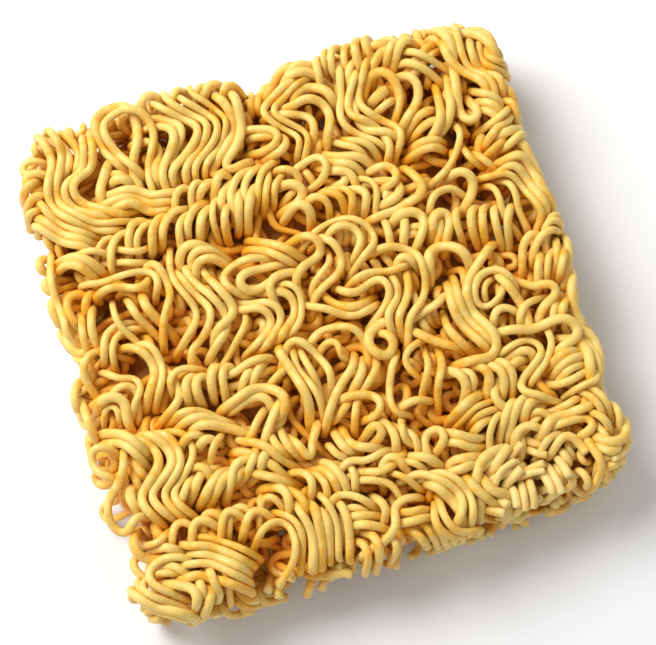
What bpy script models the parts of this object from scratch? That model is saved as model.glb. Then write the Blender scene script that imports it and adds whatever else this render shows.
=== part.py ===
"""A dried instant noodle block, lying flat: one solid, out to its uneven outline.

The block is a square slab pressed in a tray, so its four walls lean in towards
the top. Its strands stand in rows of wave crests across the slab, which the
solid shows as ridges on the top. Lumps and dents on the walls are where loops
of noodle bulge out or stop short. It rests on its flat underside.

Frame: metres, +Z up, +X along the rows of crests, origin at the centre of the
box round the slab, on the surface it rests on.
"""
import math

import bmesh
import bpy
from mathutils import Vector, noise

MM = 0.001

# Driving sizes
WIDTH = 98.0 * MM  # along X, where the walls stand out furthest
DEPTH = 99.0 * MM  # along Y
HEIGHT = 20.8 * MM
CORNER_RADIUS = 8.0 * MM  # of the slab's corners, seen from above
RIM_RADIUS = 3.0 * MM  # of the rounded edge between the walls and the faces
TOP_INSET = 1.4 * MM  # how far the walls lean in by the top
FOOT_INSET = 0.9 * MM  # and by the underside
WIDEST_AT = 0.35  # the height of the widest part, as a share of HEIGHT

# Rows of crests on the top
ROW_PITCH = 7.0 * MM
ROW_RELIEF = 0.5 * MM
ROW_WANDER = 6.0 * MM  # how far a row strays from a straight line
ROW_WANDER_SPAN = 34.0 * MM

# Loose lumps over the walls and the top
LUMP = 0.9 * MM
LUMP_SPAN = 6.5 * MM
WALL_SEED = 2.0
TOP_SEED = 7.0

# The lattice of faces
CUTS_ACROSS = 45
CUTS_UP = 7

# Where whole groups of loops bulge out of a wall or stop short of it:
# wall, place along it, how far out, half width, in mm
WALL_SHAPES = (
    ("back", -21.0, 1.2, 16.0),
    ("back", 1.0, -3.4, 5.5),
    ("back", 46.0, -2.6, 8.0),
    ("left", 46.0, -3.0, 6.0),
    ("left", 4.0, -2.4, 5.0),
    ("left", -3.5, 1.2, 2.5),
    ("left", -22.0, 2.6, 7.0),
    ("left", -31.0, -2.4, 2.5),
    ("left", -38.5, 1.0, 4.0),
    ("right", 37.0, 0.8, 6.0),
    ("right", 0.0, 1.0, 6.0),
    ("right", -14.0, -1.4, 5.0),
    ("right", -30.0, -2.2, 3.5),
    ("front", 46.0, -3.4, 8.0),
    ("front", -46.0, -2.0, 6.0),
    ("front", -16.0, 0.9, 12.0),
)
OUTWARD = {
    "right": Vector((1.0, 0.0)),
    "left": Vector((-1.0, 0.0)),
    "back": Vector((0.0, 1.0)),
    "front": Vector((0.0, -1.0)),
}

# The broken corner at the front right, where the top has crumbled away
BROKEN_PLACE = Vector((30.0, -41.0)) * MM
BROKEN_DEPTH = 2.8 * MM
BROKEN_RADIUS = 10.0 * MM


def bell(distance, half_width):
    """1 at the middle, falling smoothly to nearly 0 two half widths away."""
    return math.exp(-((distance / half_width) ** 2))


def smooth_step(value):
    value = min(max(value, 0.0), 1.0)
    return value * value * (3 - 2 * value)


def lump(point, seed):
    """A smooth uneven swell, between about -LUMP and LUMP."""
    return LUMP * noise.noise(point / LUMP_SPAN + Vector((seed, seed, seed)))


def lattice_slab():
    """A box of the slab's size, its faces cut into a regular lattice."""
    shape = bmesh.new()
    bmesh.ops.create_cube(shape, size=1.0)
    for axis, cuts in ((2, CUTS_UP), (0, CUTS_ACROSS), (1, CUTS_ACROSS)):
        along = [
            edge
            for edge in shape.edges
            if abs((edge.verts[0].co - edge.verts[1].co).normalized()[axis]) > 0.9
        ]
        bmesh.ops.subdivide_edges(shape, edges=along, cuts=cuts, use_grid_fill=True)
    bmesh.ops.scale(shape, vec=(WIDTH, DEPTH, HEIGHT), verts=shape.verts)
    return shape


def round_corners(flat, half, share_out):
    """Draws a place on the square plan in towards a plan with rounded corners."""
    if share_out < 1e-6:
        return flat
    on_square = flat / share_out
    inner = Vector(
        min(max(on_square[axis], CORNER_RADIUS - half[axis]), half[axis] - CORNER_RADIUS)
        for axis in range(2)
    )
    on_round = inner + (on_square - inner).normalized() * CORNER_RADIUS
    ratio = on_round.length / on_square.length
    return flat * (1 - (1 - ratio) * share_out**3)


def wall_lean(height_share):
    """How far the walls stand in at a height, 0 where they are widest."""
    if height_share > WIDEST_AT:
        rise = (height_share - WIDEST_AT) / (1 - WIDEST_AT)
        return TOP_INSET * rise**1.5
    drop = (WIDEST_AT - height_share) / WIDEST_AT
    return FOOT_INSET * drop**2


def round_rim(point, flat, height, half):
    """Carries places near the rims of the box onto a quarter circle."""
    from_walls = min(half.x - abs(point.x), half.y - abs(point.y))
    edge = RIM_RADIUS - from_walls
    lift = RIM_RADIUS - (half.z - abs(point.z))
    if edge <= 0 or lift <= 0:
        return flat, height
    keep = RIM_RADIUS / math.hypot(edge, lift)
    flat = flat - flat.normalized() * edge * (1 - keep)
    height = math.copysign(half.z - RIM_RADIUS + lift * keep, point.z)
    return flat, height


def wall_offset(flat, half):
    """How far the walls near a place stand out or in, from WALL_SHAPES."""
    offset = Vector((0.0, 0.0))
    for wall, place, amount, half_width in WALL_SHAPES:
        outward = OUTWARD[wall]
        along = flat.y if outward.x else flat.x
        near = max(flat.x / half.x * outward.x, flat.y / half.y * outward.y)
        weight = smooth_step((near - 0.7) / 0.3) * bell(along - place * MM, half_width * MM)
        offset += outward * amount * MM * weight
    return offset


def crest_rows(flat):
    """The height of the rows of crests, which wander as they cross the slab."""
    place = Vector((flat.x / ROW_WANDER_SPAN, flat.y / ROW_WANDER_SPAN, 4.0))
    wander = ROW_WANDER * noise.noise(place)
    return ROW_RELIEF * math.cos(math.tau * (flat.y + wander) / ROW_PITCH)


def shape_point(point):
    """Moves a point of the box to its place on the uneven slab."""
    half = Vector((WIDTH, DEPTH, HEIGHT)) / 2
    height_share = point.z / HEIGHT + 0.5
    share_out = max(abs(point.x) / half.x, abs(point.y) / half.y)
    flat = round_corners(point.xy, half, share_out)
    flat *= 1 - wall_lean(height_share) / half.x
    flat, height = round_rim(point, flat, point.z, half)
    flat += wall_offset(flat, half)

    place = Vector((flat.x, flat.y, height))
    off_floor = smooth_step(height_share / 0.25)
    on_wall = smooth_step((share_out - 0.8) / 0.2) * off_floor
    on_top = smooth_step((height_share - 0.85) / 0.15)
    inland = 1 - smooth_step((share_out - 0.85) / 0.15)
    flat += flat.normalized() * lump(place, WALL_SEED) * on_wall
    height += on_top * lump(place, TOP_SEED)
    height += on_top * inland * crest_rows(flat)
    from_break = (flat - BROKEN_PLACE).length
    height -= BROKEN_DEPTH * bell(from_break, BROKEN_RADIUS) * height_share**2
    return Vector((flat.x, flat.y, height))


def centre_on_floor(shape):
    """Puts the middle of the slab's box over the origin, and its foot at z = 0."""
    low = Vector(min(vert.co[axis] for vert in shape.verts) for axis in range(3))
    high = Vector(max(vert.co[axis] for vert in shape.verts) for axis in range(3))
    middle = (low + high) / 2
    middle.z = low.z
    bmesh.ops.translate(shape, vec=-middle, verts=shape.verts)


def merge_underside(shape):
    """Joins the underside's lattice, which lies in one plane, into one face."""
    flat_faces = [
        face for face in shape.faces if all(vert.co.z < 1e-6 for vert in face.verts)
    ]
    bmesh.ops.dissolve_faces(shape, faces=flat_faces, use_verts=False)


def noodle_material():
    material = bpy.data.materials.new("dried_noodle")
    material.use_nodes = True
    shader = material.node_tree.nodes["Principled BSDF"]
    shader.inputs["Base Color"].default_value = (0.83, 0.55, 0.19, 1.0)
    shader.inputs["Roughness"].default_value = 0.5
    shader.inputs["Metallic"].default_value = 0.0
    return material


def noodle_block():
    shape = lattice_slab()
    for vert in shape.verts:
        vert.co = shape_point(vert.co)
    centre_on_floor(shape)
    merge_underside(shape)
    bmesh.ops.triangulate(shape, faces=shape.faces)
    bmesh.ops.recalc_face_normals(shape, faces=shape.faces)
    mesh = bpy.data.meshes.new("noodle_block")
    shape.to_mesh(mesh)
    shape.free()
    mesh.shade_smooth()
    mesh.set_sharp_from_angle(angle=math.radians(50))
    mesh.materials.append(noodle_material())
    return bpy.data.objects.new("noodle_block", mesh)


def main():
    for old in list(bpy.data.objects):
        bpy.data.objects.remove(old)
    parts = bpy.data.collections.new("instant_noodle_block")
    bpy.context.scene.collection.children.link(parts)
    parts.objects.link(noodle_block())


main()
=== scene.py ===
"""The looks of a dried instant noodle block: real strands packed into the space of its solid.

The strands are laid out first as smooth curves: two folded layers that cross the block
in rows of upright waves, and sheaves of strands that lie on the top. They are then
pushed apart, inside the solid's outline and clear of a core, until they about touch.
All lengths are in mm until the meshes are made.
"""
import math

import bmesh
import bpy
import numpy as np
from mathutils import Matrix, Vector
from mathutils.bvhtree import BVHTree


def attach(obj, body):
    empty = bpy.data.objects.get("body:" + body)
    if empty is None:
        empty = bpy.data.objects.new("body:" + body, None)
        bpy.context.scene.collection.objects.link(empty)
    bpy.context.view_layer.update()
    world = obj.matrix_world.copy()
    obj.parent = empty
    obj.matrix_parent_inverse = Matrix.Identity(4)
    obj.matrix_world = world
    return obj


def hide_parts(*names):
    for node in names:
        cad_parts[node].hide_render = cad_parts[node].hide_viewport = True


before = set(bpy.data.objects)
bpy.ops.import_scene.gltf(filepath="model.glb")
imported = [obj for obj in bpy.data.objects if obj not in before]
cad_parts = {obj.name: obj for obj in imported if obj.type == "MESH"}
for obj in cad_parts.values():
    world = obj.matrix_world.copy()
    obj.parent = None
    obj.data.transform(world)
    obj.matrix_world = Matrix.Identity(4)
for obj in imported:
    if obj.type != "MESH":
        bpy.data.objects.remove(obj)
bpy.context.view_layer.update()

MM = 0.001
rng = np.random.default_rng(20)

# Strands
THICK = 1.6
THICK_SPREAD = 0.09  # from strand to strand, as a share of THICK
BEAD_STEP = 0.9  # a strand is packed as a row of beads this far apart
RING_SHARE = 0.75  # beads from one ring of a tube's mesh to the next
SIDES = 10
PIECES = 6
OUT_OF_ROUND = 0.075
FLAT_WAY_SPAN = 22  # rings over which the wider way turns
SWELLS = ((0.09, 14), (0.035, 5))  # how much a strand's thickness varies, over how many rings
BEVEL = 0.09  # of a cut end, as a share of THICK
CUT_RADIUS = 0.8
TONE_SPREAD = 0.16
CUT_FADE = 2.5  # rings over which a cut end's paleness fades
# The map for bakes: all the tubes in rows, end to end
MAP_GAP = 1.4  # between one tube and the next
MAP_LEFT = 0.002
MAP_WIDTH = 0.99
ROW_FOOT = 0.04  # of a row's height
ROW_HEIGHT = 0.92

# The two folded layers, the lower one first
FOLDED_STRANDS = 36
LEFT_STRAND_X = -45.0
RIGHT_STRAND_X = 48.5
HALF_RUN = 46.5  # how far the waves run each way from the middle, along y
ROW_PITCH = 7.6
FRONT_REACH = (2.6, 0.4)  # how much further a layer's cut ends reach at the front
LAYER_MIDDLE = (5.0, 13.9)
LAYER_SWING = (3.9, 2.9)
LAYER_LEAN_DEG = (50, 64)
EDGE_SWING = 1.5  # how much higher the waves are at the walls, where there is no core
EDGE_CLOSER = (0.9, -1.6)  # how far the layers come together there
EDGE_POWER = 7
LEAN_SPREAD_DEG = 9
PHASE_SPREAD = 0.6
ROW_WANDER = 5.0  # how far the rows of waves bend along y
DRIFT = 2.5  # how far a strand's course bends along x, as its neighbours' do
SWAY = 2.6  # and how far it sways on its own
SWAY_SPAN = 17
WAVE_BULGE = 0.75  # makes a wave's turns rounder and its flanks steeper
CUT_SPREAD = 1.2
FOLD_REACH = 2.5  # the half round from one layer to the other: its reach and half its height
FOLD_HEIGHT = 4.6
FOLD_POINTS = 40
LAYER_POINTS = 2600
LEAN_SHARPNESS = 2.2
LEAN_FIELD = (10, 34)  # the seed and span of a smooth field for each layer
ROW_FIELD = (20, 40)
SWAY_FIELD = (30, 30)
DRIFT_FIELD = (40, 50)
FIELD_WAVES = 7
FIELD_SPREAD = 0.75
FIELD_SUM = 2.6  # about what its waves add up to

# The core, a rounded slab in the space that the strands are kept out of
CORE_MIDDLE = np.array([0.0, 0.0, 9.6])
CORE_HALF = np.array([36.5, 35.5, 1.6])
CORE_ROUND = 1.6
CORE_CUTS = 63
CORE_SINK = 0.4  # how far its skin lies inside that space
RIDGE_HEIGHT = 0.35
RIDGE_PITCH = 3.8
RIDGE_SWAY = 2
RIDGE_SWAY_LENGTH = 9

# Packing
ROUNDS = 260
GROWING_ROUNDS = 120
FIRST_GROWTH = 0.35
TOUCH = 0.97  # how close two strands may come, as a share of THICK
PAIR_REACH = 1.35  # beads this near, in THICK, are looked at until the next search
PAIR_EVERY = 8
PUSH_SHARE = 0.9
STIFFNESS = 0.5  # how far a bead's shift is drawn to the mean of its neighbours' shifts
NEIGHBOURS = 3  # beads of a strand this close along it don't push each other

# The strands of the top. Each row is a strand, or a sheaf of strands side by side: how far it lies
# under the highest ones, the places (x, y) that its first strand runs through, and for a sheaf how
# many strands it has and the step along x and along y from one to the next. All in mm.
SHEAVES = (
    # back left: a loop thrown over nested S waves
    (0, ((-26, 36), (-28.4, 39.5), (-29.4, 43), (-29.2, 45.8), (-27.3, 48), (-24.2, 48.5), (-21.8, 46.6),
        (-21.3, 43), (-22.2, 39), (-24, 35.3), (-24.4, 31.5)), 2, 1.6, -0.7),
    (0.8, ((-22.4, 41), (-20, 40.2), (-19.2, 38), (-20.8, 35), (-21.6, 31))),
    (0.6, ((-22, 43), (-18.4, 42.4), (-16, 40), (-15.8, 37.8), (-18.4, 35), (-20, 32.6),
        (-19.6, 30)), 2, 1.5, 0.9),
    (0.2, ((-16.4, 48), (-15.4, 44.8), (-12.8, 42.2), (-10.6, 39), (-11.6, 36.2), (-14.6, 33.8),
        (-17, 31.8), (-17.4, 29.8)), 4, 1.9, 0.1),
    (0, ((-3.6, 45), (-2.8, 41), (-3.4, 37), (-6, 33.4), (-9, 31), (-8.4, 29), (-5.4, 29.4)), 2, -1.6, 0.4),
    (1.6, ((-20, 45), (-20.3, 48), (-18.5, 49.3), (-16.8, 48), (-17.4, 45))),
    (1.6, ((-13.4, 45), (-12.4, 47.8), (-10.6, 48.6), (-9.2, 46)), 4, 2.9, 0.2),
    (0.8, ((-32.4, 45), (-32.6, 41), (-34.4, 37.4), (-37.6, 35.4), (-39, 33.2), (-37.6, 30.6),
        (-34.6, 28.6), (-31, 27.6), (-27.6, 27.4)), 2, 1.9, 0.2),
    (1, ((-28.6, 38), (-29.6, 35.6), (-31.4, 33), (-32, 30))),
    (0.4, ((-39.6, 47.4), (-38.4, 43), (-39.3, 39.2), (-41, 36), (-41, 32.4), (-38.4, 29.2), (-34, 26.4),
        (-30.4, 25.6)), 2, 1.7, 0.6),
    (0.8, ((-43.4, 34), (-41.6, 30.6), (-38.6, 27.6), (-34.8, 25.4)), 3, -0.9, -1.5),
    (1.6, ((-36, 46), (-34.4, 43.4), (-34.6, 40.4), (-36.8, 38.2)), 2, -1.7, -0.7),
    (1.4, ((-41, 41), (-43.2, 42.4), (-45.4, 41.6), (-44.6, 39.6), (-42, 38.8)), 2, 0.4, -1.8),
    (1.6, ((-46.6, 36.6), (-44.6, 37.4), (-42.4, 37)), 3, 0.2, -2),
    (0.4, ((-33.4, 32), (-29.6, 31.2), (-26, 31), (-22.6, 28.8), (-18.6, 28.6)), 3, -0.2, -1.7),
    (1.6, ((-31.4, 35.4), (-28.4, 35.6), (-26, 34.4)), 2, 0.6, -1.6),
    # back middle: arches at the edge, C waves and hanging strands
    (1.2, ((4.4, 44.4), (7.4, 47.2), (11, 46.6), (13, 43.6)), 3, 0.9, -1.6),
    (0, ((10.8, 44.4), (7, 42.8), (3.8, 41.2), (2, 39.2), (3.4, 36.4), (5.8, 34), (7, 31.6),
        (5.8, 29.6)), 2, 1.5, -1.3),
    (0.4, ((17, 36), (15.6, 39.4), (12.6, 41.4), (9.4, 40.8), (8, 38.6))),
    (0.2, ((12, 30), (13.4, 33.5), (12.9, 36.8), (10.4, 38.5), (7.4, 38.2), (4.4, 38.6))),
    (0.6, ((8.9, 30), (9.9, 33.6), (9, 35.8), (6, 37), (2.8, 38.6))),
    (0.6, ((-2.6, 36.6), (0.3, 35.5), (2.6, 34.4), (3.3, 32), (1, 30.4), (-2.2, 31)), 2, 0.3, -1.8),
    (0, ((18.6, 42.4), (17, 37.6), (15.9, 33.6), (16.6, 31), (19, 28.8), (22, 26.4)), 2, 1.7, 0.4),
    (0.8, ((13, 30.6), (15.6, 28), (18.8, 25.9), (20, 23)), 5, -1.2, -1.1),
    (0, ((23.2, 43), (21, 39.8), (19.4, 37), (18.9, 34.2), (20.5, 31.8), (23.2, 29.2), (24.6, 26.2),
        (23, 22.8)), 2, -1.7, -0.2),
    (0, ((21.6, 36.6), (23, 38.8), (25.5, 39.2), (27.5, 36.8), (27.3, 33.6), (25.8, 30.4))),
    (0.4, ((27.6, 38), (30, 37), (31.2, 34.2), (29.8, 31.5), (26.4, 28.6))),
    (1, ((21.6, 34.2), (24, 34.8), (26.2, 36.6)), 2, 0.2, -1.7),
    (1.2, ((14, 41), (14, 44.5), (15, 47.4), (16.6, 46.4)), 6, 1.9, 0.1),
    (1.4, ((20.5, 43), (21.6, 46), (24.6, 46.6), (28, 45)), 3, 1.1, -1.2),
    (0.6, ((27.2, 41), (28.2, 44.3), (30.6, 44.6), (31.8, 42.4)), 2, 1.6, 0.2),
    (0.2, ((29.6, 41.4), (32.2, 39), (36, 35.6)), 2, 0.8, 1.5),
    (0.8, ((31, 37.4), (34, 39.2), (37.6, 41)), 2, -0.6, 1.8),
    (0.6, ((27.4, 27.4), (29.4, 28.9), (33, 30)), 2, 0.3, -1.9),
    (0.8, ((25.4, 24.4), (28.4, 24.6), (32, 24)), 2, 0.2, -1.8),
    (0.4, ((24.8, 19.4), (26.2, 16.4), (25.4, 14), (22.8, 13.5), (19.5, 13.2), (16, 13))),
    # the coils that run across behind the middle
    (0.8, ((-19.4, 23.6), (-18.3, 26.6), (-16.2, 28), (-14.2, 26.8)), 4, 2.5, 0.1),
    (0.8, ((-36, 20), (-34.8, 23), (-32.6, 24.2), (-30.6, 23.4))),
    (0.2, ((-32.8, 19.8), (-31.9, 22.8), (-30, 24.6), (-27.8, 23.8)), 5, 2.4, 0),
    (0, ((-20.8, 17.8), (-20, 21.4), (-18, 24.3), (-15.6, 24.4)), 7, 2.3, 0.15),
    (0.4, ((-11, 21.5), (-10.6, 24.6), (-8.6, 27), (-6, 28)), 4, 2, 0.2),
    (0.4, ((-3.8, 21.3), (-2.7, 24), (-0.9, 25.6), (-0.4, 27.4)), 2, 2.6, 0.6),
    (0.6, ((0, 27.2), (2.6, 26.2), (4.2, 24.2), (3.2, 22.4), (0.6, 21.2)), 2, 0.5, -1.9),
    (0.2, ((2.8, 27.3), (6, 27.8), (8.5, 27.2), (9.4, 25), (8, 23.1), (5.4, 22.7))),
    (0.4, ((9.8, 25.2), (12.4, 24.4), (13.3, 22.6), (11.8, 20.8), (9.4, 21.4))),
    (0.4, ((0.6, 18.4), (3, 19.5), (4.9, 17.8), (4.5, 15.3)), 3, 3, 0.1),
    (0.2, ((8.8, 20.8), (11.8, 20), (13, 17.8), (11.7, 15.6)), 3, 2.8, -0.1),
    (0.2, ((16.6, 19.6), (20, 19.2), (21.6, 17.2), (20.4, 15), (17, 14.2)), 2, 0.9, 1.6),
    # between the coils and the middle, at the left
    (0.4, ((-43.4, 21.2), (-41, 20.8), (-38.6, 19.2), (-36.8, 16.8)), 3, 1.7, 0.9),
    (0.8, ((-35, 20.2), (-32, 18.9), (-29, 17.2), (-26.6, 17.6)), 2, 0.3, 1.5),
    (0.2, ((-38.4, 15.6), (-35, 15.3), (-32, 15.6), (-28.5, 15.6), (-26.2, 14.8), (-25.8, 12.4),
        (-27, 10.6))),
    (0.2, ((-37.4, 13.8), (-33.8, 13.9), (-30.6, 12.6), (-28.5, 13), (-27.6, 14.6))),
    (1, ((-35.4, 11.5), (-35.3, 7.6), (-34, 5), (-32.6, 2.4)), 3, 3, 0.5),
    (0, ((-27.8, 15.6), (-25.9, 16), (-24.6, 13.6), (-24, 10.6), (-25.6, 8), (-27.6, 5.4), (-28.6, 2.2))),
    (0, ((-22.8, 16.2), (-23.2, 13.2), (-22.2, 9.2), (-21, 6), (-21.5, 3.6), (-23.8, 1.2), (-26.4, -0.4))),
    (0, ((-21.6, 13), (-20.2, 9), (-18.4, 5.2), (-18.7, 2.8), (-20.8, 0.6), (-23.1, -1.6), (-23.6, -4.2))),
    (0, ((-20, 14), (-19.4, 11.6), (-17.4, 8), (-15.9, 4), (-16.7, 1.2), (-19.5, -1),
        (-21.6, -3.2)), 2, 1.5, 0.4),
    (0.6, ((-21.6, 13.5), (-20.3, 16.8), (-17, 17), (-13.8, 14.6)), 3, 0.9, -1.4),
    # the left edge
    (2.6, ((-43.7, 24.4), (-44.6, 20.5), (-44.8, 15.8), (-44.2, 11.6), (-45.2, 8), (-42.4, 5.4))),
    (2, ((-42.5, 10.4), (-43.8, 13.4), (-42.7, 16.2), (-39.8, 16))),
    (1.6, ((-41.9, 12), (-42.1, 9), (-42.3, 5.8), (-41.2, 2.6)), 2, 2, 0.2),
    (0.6, ((-39.8, 2.6), (-38.7, 5.7), (-36.4, 7.1), (-33.6, 7)), 2, 1.4, -1.3),
    (1.4, ((-43, -3), (-43.9, 0.6), (-42.4, 3.2), (-39.5, 3.9), (-36.5, 2.4))),
    (0.2, ((-37, 2.8), (-34, 2.3), (-32.5, 0), (-32.3, -3.2), (-33.6, -6), (-35.6, -8.6)), 2, 2.2, -0.3),
    (1, ((-41, -0.4), (-38.8, -3.1), (-36.4, -3.2), (-34.8, -5.5), (-36.6, -8), (-38.8, -11))),
    (1.2, ((-41.6, -5.2), (-39.3, -3.9), (-37, -4.4), (-36.4, -6.2), (-37.6, -9)), 2, -1, -1.2),
    (2.2, ((-46.6, -4.2), (-45.6, -7.4), (-44.6, -10.8))),
    (1.4, ((-43.2, -9), (-41.9, -6.7), (-39.9, -7.5), (-40.2, -10.4))),
    (1.6, ((-41.8, -14.6), (-44.8, -13.4), (-46.6, -15.3), (-46.2, -18.2), (-43.8, -20))),
    (1.2, ((-41.4, -15.6), (-42, -19.5), (-44, -22), (-46.8, -24.7), (-47.6, -27.6), (-46.6, -30.1),
        (-44.8, -30.3), (-42.4, -28.2), (-39.8, -29))),
    (0.6, ((-43.8, -12.8), (-41.2, -14.2), (-39.2, -16.7), (-37.6, -19.6)), 2, 0.8, 1.7),
    (0.2, ((-38.4, -13.4), (-36, -14.6), (-34.6, -17.3), (-34.8, -20.2), (-37.2, -22.4), (-39.6, -24.4),
        (-39.5, -27), (-37.8, -30)), 4, 1.9, -0.4),
    (1.4, ((-41.6, -22.4), (-42, -25.6), (-41, -28.4))),
    # left of the middle
    (0.4, ((-29.9, -3.6), (-29.2, -6.6), (-28.4, -9.4), (-30.2, -11.6), (-33, -12.8))),
    (0.4, ((-29.8, -7.6), (-29.4, -5.3), (-27, -4.4), (-24.6, -5.6))),
    (0.4, ((-27.8, -11), (-27.3, -7.6), (-25.6, -5.8), (-24, -7.6)), 4, 2.4, -0.3),
    (0.8, ((-31.6, -13.4), (-28.6, -12.6), (-24.6, -13.2), (-21.6, -15)), 3, 0.9, -1.7),
    (0, ((-21.6, -13.2), (-19, -12.6), (-15.5, -11.3), (-12.5, -12.6), (-10.9, -15.3), (-12, -17.8),
        (-14.2, -18.6))),
    (0.4, ((-19, -14), (-15.8, -13.4), (-13.2, -14.4), (-12.9, -16.4))),
    (0.6, ((-14.6, -16.4), (-17, -18.6), (-19.4, -22.2)), 2, 2.6, 0.5),
    (0.6, ((-21, -7.4), (-17.7, -8), (-14, -7.3), (-10.4, -7)), 2, 0.6, -1.6),
    (0.4, ((-17.4, -11), (-15.2, -9.2), (-12.4, -7.2)), 3, 2, -0.3),
    # the middle
    (0.2, ((-3.2, 11), (-8, 12.3), (-12.5, 11.8), (-14.7, 9.8), (-13.8, 7.2), (-10.6, 5.6))),
    (0, ((-4, 10), (-9, 10.3), (-12, 8.6), (-11.4, 6.4), (-8.4, 6), (-5, 7.2))),
    (0.4, ((-6.8, 15.6), (-4, 12.9), (-1.6, 10.9), (0.6, 9.6)), 2, -1.6, -1.2),
    (0, ((-14.9, 5.8), (-12.3, 4.2), (-9, 3.7), (-7.7, 1.2), (-9, -2), (-11.7, -4.2),
        (-14.6, -5.2)), 4, 2, 0.1),
    (0.8, ((-12.2, 4), (-13.2, -0.2), (-16, -3.2), (-19, -5.6))),
    (0, ((-6.4, 3), (-6.3, 6.2), (-4, 7), (-1, 6.2))),
    (0, ((-2.6, 12.4), (1.3, 13.3), (3.9, 11.9), (3.8, 9.4), (0.8, 8), (-1.5, 6), (-2.3, 3.8),
        (-1.5, 1.4))),
    (0.4, ((4.9, 9.8), (5, 7.4), (2.8, 5.4), (0.5, 3.8), (-0.2, 1.2))),
    (0, ((5, 12.4), (7.3, 10), (7.8, 7), (6.2, 4.3), (3.4, 2.8), (1.2, 1.6), (0.2, -0.4))),
    (0, ((3.6, 12.8), (7.5, 14.7), (11.5, 14.1), (14.3, 11.2), (14, 8), (11.4, 5.4), (8.4, 3))),
    (0.2, ((4.4, 11.2), (8, 12.9), (11.1, 11.8), (11.9, 9), (10, 6.2))),
    (0, ((6.6, 1.6), (9.4, 2.6), (12.5, 2.5), (15.5, 1.8), (19, 2.2))),
    (0, ((4.8, 1.8), (6.3, -0.1), (8.6, -1.2), (11.7, -0.4), (14.3, -0.9), (15, -3.6), (12.8, -6),
        (10.6, -7.2))),
    (0.2, ((2.4, 1.6), (3.9, -1.1), (6.8, -2.8), (9.5, -3.1), (11.8, -2))),
    (0.2, ((-3.5, 2.2), (-1.2, -0.2), (1.9, -2.1), (4.4, -3.9), (7.2, -4.5), (10, -3.9))),
    (0, ((-9, -8.6), (-7.8, -6), (-5.6, -5.2), (-3.3, -7.2), (-1.8, -10.8), (-1.4, -14.2), (-2.2, -17.6))),
    (0.2, ((-8.2, -6.4), (-8.4, -10), (-7.4, -13), (-6.2, -17), (-6.6, -20)), 2, 2, -0.2),
    (0.2, ((-4.8, -7), (-4.8, -10.6), (-4.3, -14.4), (-4.4, -18.4))),
    (0.2, ((-3, -6.6), (-0.5, -5.1), (3, -5.5), (5.8, -7.1), (6.6, -10.2), (6, -13))),
    (0.6, ((-2.2, -9), (0.2, -6.9), (2.6, -8), (2.2, -10.2), (4.2, -11.6))),
    (0, ((13.2, -7.2), (10, -6.7), (7.6, -8.4), (7.3, -10.8), (9.2, -12.8), (11.4, -11.4), (11.6, -8.8),
        (10.2, -7.9))),
    (0, ((11.9, -12.3), (9.8, -14.9), (8.5, -17.8), (7.9, -20.9), (8.5, -24), (10.6, -24.6))),
    (0.4, ((3.7, -11.5), (2.2, -14.6), (-0.8, -16.8), (-2.8, -19.2), (-4.4, -22)), 3, 2.3, -0.3),
    (0.2, ((-0.4, -18.6), (2.7, -18.9), (5.3, -19.6), (6.1, -21.5), (4.8, -23.4), (1.8, -23.4))),
    # right of the middle
    (0, ((13.4, 6.8), (16.6, 7.4), (19.4, 6.2), (21, 3), (21.1, -1.4), (19.8, -4.4), (17.4, -6.4),
        (15.2, -8.3), (13.8, -11))),
    (0.8, ((18.4, 12), (17.6, 8.4), (16.6, 4.6)), 2, 1.9, 0.3),
    (0.2, ((17.6, 0.6), (17.3, 3.4), (19.3, 4.3), (20.6, 2.2))),
    (0.4, ((12.6, -10), (12.4, -6.6), (14.2, -4.6), (15.9, -1.6), (16, 1.4)), 2, 1.8, -0.2),
    (0.2, ((16, -8.7), (18.6, -7.5), (22, -6.6), (24.4, -4.2))),
    (0.4, ((15.6, -10.2), (17.2, -12), (20.4, -14), (23, -15.6))),
    (0.8, ((16.2, -12.8), (13.4, -13.6), (12.3, -15.9), (14, -18.4))),
    (0.6, ((17.2, -14), (16.7, -17.6), (15, -20.8), (14, -24)), 2, 1.9, 0.2),
    (0.6, ((9.6, -24.4), (12.5, -23.3), (15, -23.4))),
    (0.4, ((29.4, 2.6), (29.6, 6), (31, 9), (33, 8.6)), 5, 2.3, -0.5),
    (0, ((19.4, 12), (21.4, 12.4), (23.7, 11.8), (24.6, 10), (22.8, 6.8), (21.3, 4.6))),
    (0, ((25.3, 6), (26.2, 9.4), (28.3, 10.4), (29.7, 8.6), (27.6, 4.2))),
    (1.6, ((19, 9.6), (22, 9), (25.4, 8.2)), 2, 0.4, -1.9),
    (1.2, ((18.6, 14.6), (23, 13.8), (27.4, 14.6)), 2, 0.4, 1.8),
    (0.2, ((26.4, 11), (27.2, 13), (29, 14.2), (31.5, 14.2), (32.7, 12.6))),
    (0.2, ((30.8, 16), (33, 16.7), (35.1, 15.1), (34.6, 12.5), (33.2, 10.4))),
    (0.2, ((22.8, -1.2), (23.8, 2.4), (27, 3.4), (29.8, 1), (30.4, -2))),
    (0, ((34.4, 1), (31.4, -1.4), (29, -4), (27.6, -7.4), (27.7, -10.8), (29, -14.4), (29.5, -17.2),
        (28.4, -19.2), (25.5, -19.3), (21.4, -19))),
    (0.2, ((24.6, -3.6), (24, -7.8), (24.6, -11.6), (26.2, -15), (27.7, -17.8)), 2, 1.6, 0.9),
    (0.6, ((22.4, -8.6), (22.2, -12), (23.4, -15.4), (25.4, -17.8))),
    (0, ((35.8, -5.6), (34, -3.6), (31.8, -3), (29.4, -4.4), (28.5, -7.2), (30.2, -9.4), (33.4, -8.3),
        (35, -6))),
    (0.6, ((33, -4.8), (31, -6.2), (30.9, -8.6))),
    (0.2, ((34.6, -2.6), (35.2, -6.4), (36, -9.6), (36.1, -12.6), (35.6, -17))),
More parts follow.
